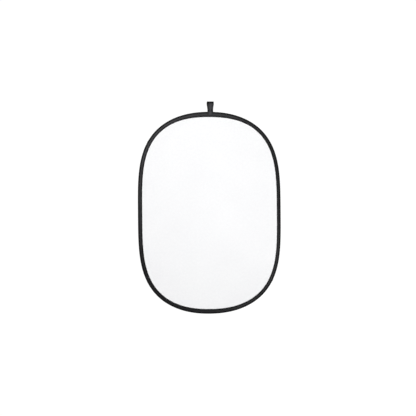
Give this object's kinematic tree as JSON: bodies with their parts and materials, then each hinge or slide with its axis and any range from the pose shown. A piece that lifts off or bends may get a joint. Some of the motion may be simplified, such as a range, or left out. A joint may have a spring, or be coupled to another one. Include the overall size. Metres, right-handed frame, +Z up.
{
  "type": "collapsible reflector disc",
  "caption": "Rounded-oval collapsible light reflector: taut white and silver cloths on a folding spring-steel hoop in black binding, with a webbing loop to hang it by.",
  "frame": {"origin": "inside the hanging loop, under its crown, where a hook bears", "axes": "+Z up along the disc's height, +Y from the white face to the silver face, +X to the right as seen from the white face"},
  "size_m": [0.62, 0.0144, 0.9199],
  "materials": {
    "white_cloth": "matt white plain-woven polyester",
    "silver_cloth": "silver-coated cloth, satin metallic",
    "black_binding": "black woven polyester binding tape",
    "black_webbing": "black ribbed webbing",
    "black_thread": "black polyester thread",
    "spring_steel": "blued spring-steel strip",
    "plated_steel": "plated steel sleeve, crimped",
    "vinyl_tape": "black vinyl tape"
  },
  "bodies": {
    "upper_half": {"binding_top": "black_binding", "binding_left_upper": "black_binding", "hoop_strip_upper": "spring_steel", "front_cloth_upper": "white_cloth", "back_cloth_upper": "silver_cloth", "rim_stitching_front_upper": "black_thread", "rim_stitching_back_upper": "black_thread", "upper_joint_stitching_front": "black_thread", "upper_joint_stitching_back": "black_thread", "loop_leg_front": "black_webbing", "loop_leg_back": "black_webbing", "bar_tack_front": "black_thread", "bar_tack_back": "black_thread"},
    "lower_half": {"binding_right_lower": "black_binding", "binding_bottom": "black_binding", "hoop_strip_right_end": "spring_steel", "hoop_strip_lower": "spring_steel", "hoop_ferrule": "plated_steel", "ferrule_wrap": "vinyl_tape", "front_cloth_lower": "white_cloth", "back_cloth_lower": "silver_cloth", "rim_stitching_front_lower": "black_thread", "rim_stitching_back_lower": "black_thread", "lower_joint_stitching_front": "black_thread", "lower_joint_stitching_back": "black_thread"},
    "loop": {"hanging_loop": "black_webbing"}
  },
  "joints": [
    {"name": "fold", "type": "hinge", "parent": "upper_half", "child": "lower_half", "pos_m": [-0.0056, 0.0052, -0.4813], "axis": [1, 0, 0], "range_deg": [0, 165], "stiffness_Nm_per_rad": 1.5},
    {"name": "loop_swing", "type": "hinge", "parent": "upper_half", "child": "loop", "pos_m": [0, 0, -0.0403], "axis": [1, 0, 0], "range_deg": [-75, 75], "stiffness_Nm_per_rad": 0.005}
  ]
}
